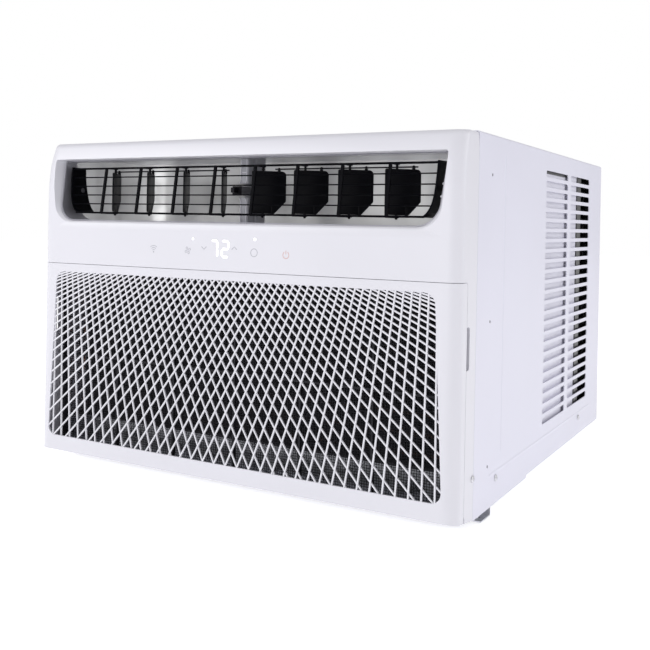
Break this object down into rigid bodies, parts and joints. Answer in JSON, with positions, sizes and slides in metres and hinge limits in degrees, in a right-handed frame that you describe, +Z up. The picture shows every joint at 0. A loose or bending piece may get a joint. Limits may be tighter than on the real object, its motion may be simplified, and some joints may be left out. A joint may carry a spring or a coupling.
{
  "type": "window air conditioner",
  "caption": "Window air conditioner: slotted cabinet, lattice intake door, tilting louver frame with ganged vanes, and the fans, coils and compressor inside.",
  "frame": {"origin": "centre of the bounding box on the plane of the sill rail's underside", "axes": "+X to the right seen from the room, +Y from the front towards the outdoor side, +Z up"},
  "size_m": [0.678, 0.72, 0.485],
  "materials": {
    "white_paint": "smooth powder coat, satin",
    "white_plastic": "fine satin moulding",
    "black_plastic": "satin black moulding",
    "galvanised": "galvanised sheet, dull zinc",
    "aluminium": "drawn can",
    "copper": "copper tube, lightly dulled",
    "black_steel": "black enamel",
    "rubber": "matt",
    "filter_mesh": "dark woven mesh in a moulded frame",
    "grey_plastic": "light grey moulding",
    "board_green": "solder mask",
    "steel": "plated",
    "fins": "coated dark fins",
    "foam": "dark expanded foam"
  },
  "bodies": {
    "housing": {"cabinet": "white_paint", "base_pan": "galvanised", "sill_rail": "galvanised", "front_frame": "white_plastic", "discharge_duct": "galvanised", "centre_divider": "grey_plastic", "evaporator_coil": "fins", "condenser_coil": "fins", "compressor": "black_steel", "grommet_1": "rubber", "grommet_2": "rubber", "grommet_3": "rubber", "fan_motor": "black_steel", "motor_bracket": "galvanised", "blower_scroll": "galvanised", "bulkhead": "foam", "fan_shroud": "galvanised", "drain_tray": "foam", "control_box": "galvanised", "suction_accumulator": "black_steel", "filter_drier": "copper", "discharge_line": "copper", "suction_line": "copper", "accumulator_line": "copper", "liquid_line": "copper", "capillary_tube": "copper", "terminal_cover": "black_plastic", "control_board": "board_green", "run_capacitor": "aluminium", "display_board": "board_green", "drain_plug": "rubber", "seam_screw_left": "steel", "front_screw_left": "steel", "rear_screw_left": "steel", "rail_screw_left": "steel", "seam_screw_right": "steel", "front_screw_right": "steel", "rear_screw_right": "steel", "rail_screw_right": "steel"},
    "intake_door": {"intake_grille": "white_plastic"},
    "air_filter": {"air_filter": "filter_mesh"},
    "louver_frame": {"louver_frame": "black_plastic"},
    "rotor": {"fan_shaft": "steel", "condenser_fan": "black_plastic", "blower_wheel": "grey_plastic"},
    "vane_left_1": {"vane_left_1": "black_plastic"},
    "vane_left_2": {"vane_left_2": "black_plastic"},
    "vane_left_3": {"vane_left_3": "black_plastic"},
    "vane_left_4": {"vane_left_4": "black_plastic"},
    "tie_bar_left": {"tie_bar_left": "black_plastic"},
    "vane_right_1": {"vane_right_1": "black_plastic"},
    "vane_right_2": {"vane_right_2": "black_plastic"},
    "vane_right_3": {"vane_right_3": "black_plastic"},
    "vane_right_4": {"vane_right_4": "black_plastic"},
    "tie_bar_right": {"tie_bar_right": "black_plastic"}
  },
  "joints": [
    {"name": "intake_door_hinge", "type": "hinge", "parent": "housing", "child": "intake_door", "pos_m": [0, -0.3375, 0.022], "axis": [1, 0, 0], "range_deg": [0, 45]},
    {"name": "air_filter_slide", "type": "slide", "parent": "housing", "child": "air_filter", "axis": [0, -1, 0], "range_m": [0, 0.02]},
    {"name": "louver_frame_tilt", "type": "hinge", "parent": "housing", "child": "louver_frame", "pos_m": [0, -0.32, 0.413], "axis": [1, 0, 0], "range_deg": [-12, 12]},
    {"name": "fan_shaft_turn", "type": "hinge", "parent": "housing", "child": "rotor", "pos_m": [0, -0.104, 0.228], "axis": [0, 1, 0], "continuous": true},
    {"name": "vane_left_1_turn", "type": "hinge", "parent": "louver_frame", "child": "vane_left_1", "pos_m": [-0.0331, -0.3155, 0.4105], "axis": [0, 0, 1], "range_deg": [-66, 19]},
    {"name": "vane_left_2_turn", "type": "hinge", "parent": "louver_frame", "child": "vane_left_2", "pos_m": [-0.0998, -0.3155, 0.4105], "axis": [0, 0, 1], "range_deg": [-66, 19]},
    {"name": "vane_left_3_turn", "type": "hinge", "parent": "louver_frame", "child": "vane_left_3", "pos_m": [-0.1665, -0.3155, 0.4105], "axis": [0, 0, 1], "range_deg": [-66, 19]},
    {"name": "vane_left_4_turn", "type": "hinge", "parent": "louver_frame", "child": "vane_left_4", "pos_m": [-0.2332, -0.3155, 0.4105], "axis": [0, 0, 1], "range_deg": [-66, 19]},
    {"name": "tie_bar_left_link", "type": "hinge", "parent": "vane_left_1", "child": "tie_bar_left", "pos_m": [-0.0436, -0.29617, 0.442], "axis": [0, 0, 1], "range_deg": [-19, 66]},
    {"name": "vane_right_1_turn", "type": "hinge", "parent": "louver_frame", "child": "vane_right_1", "pos_m": [0.0331, -0.3155, 0.4105], "axis": [0, 0, 1], "range_deg": [-1, 84]},
    {"name": "vane_right_2_turn", "type": "hinge", "parent": "louver_frame", "child": "vane_right_2", "pos_m": [0.0998, -0.3155, 0.4105], "axis": [0, 0, 1], "range_deg": [-1, 84]},
    {"name": "vane_right_3_turn", "type": "hinge", "parent": "louver_frame", "child": "vane_right_3", "pos_m": [0.1665, -0.3155, 0.4105], "axis": [0, 0, 1], "range_deg": [-1, 84]},
    {"name": "vane_right_4_turn", "type": "hinge", "parent": "louver_frame", "child": "vane_right_4", "pos_m": [0.2332, -0.3155, 0.4105], "axis": [0, 0, 1], "range_deg": [-1, 84]},
    {"name": "tie_bar_right_link", "type": "hinge", "parent": "vane_right_1", "child": "tie_bar_right", "pos_m": [0.04914, -0.30044, 0.442], "axis": [0, 0, 1], "range_deg": [-84, 1]}
  ],
  "couplings": [
    {"joint": "vane_left_2_turn", "follows": "vane_left_1_turn", "ratio": 1},
    {"joint": "vane_left_3_turn", "follows": "vane_left_1_turn", "ratio": 1},
    {"joint": "vane_left_4_turn", "follows": "vane_left_1_turn", "ratio": 1},
    {"joint": "tie_bar_left_link", "follows": "vane_left_1_turn", "ratio": -1},
    {"joint": "vane_right_2_turn", "follows": "vane_right_1_turn", "ratio": 1},
    {"joint": "vane_right_3_turn", "follows": "vane_right_1_turn", "ratio": 1},
    {"joint": "vane_right_4_turn", "follows": "vane_right_1_turn", "ratio": 1},
    {"joint": "tie_bar_right_link", "follows": "vane_right_1_turn", "ratio": -1}
  ]
}
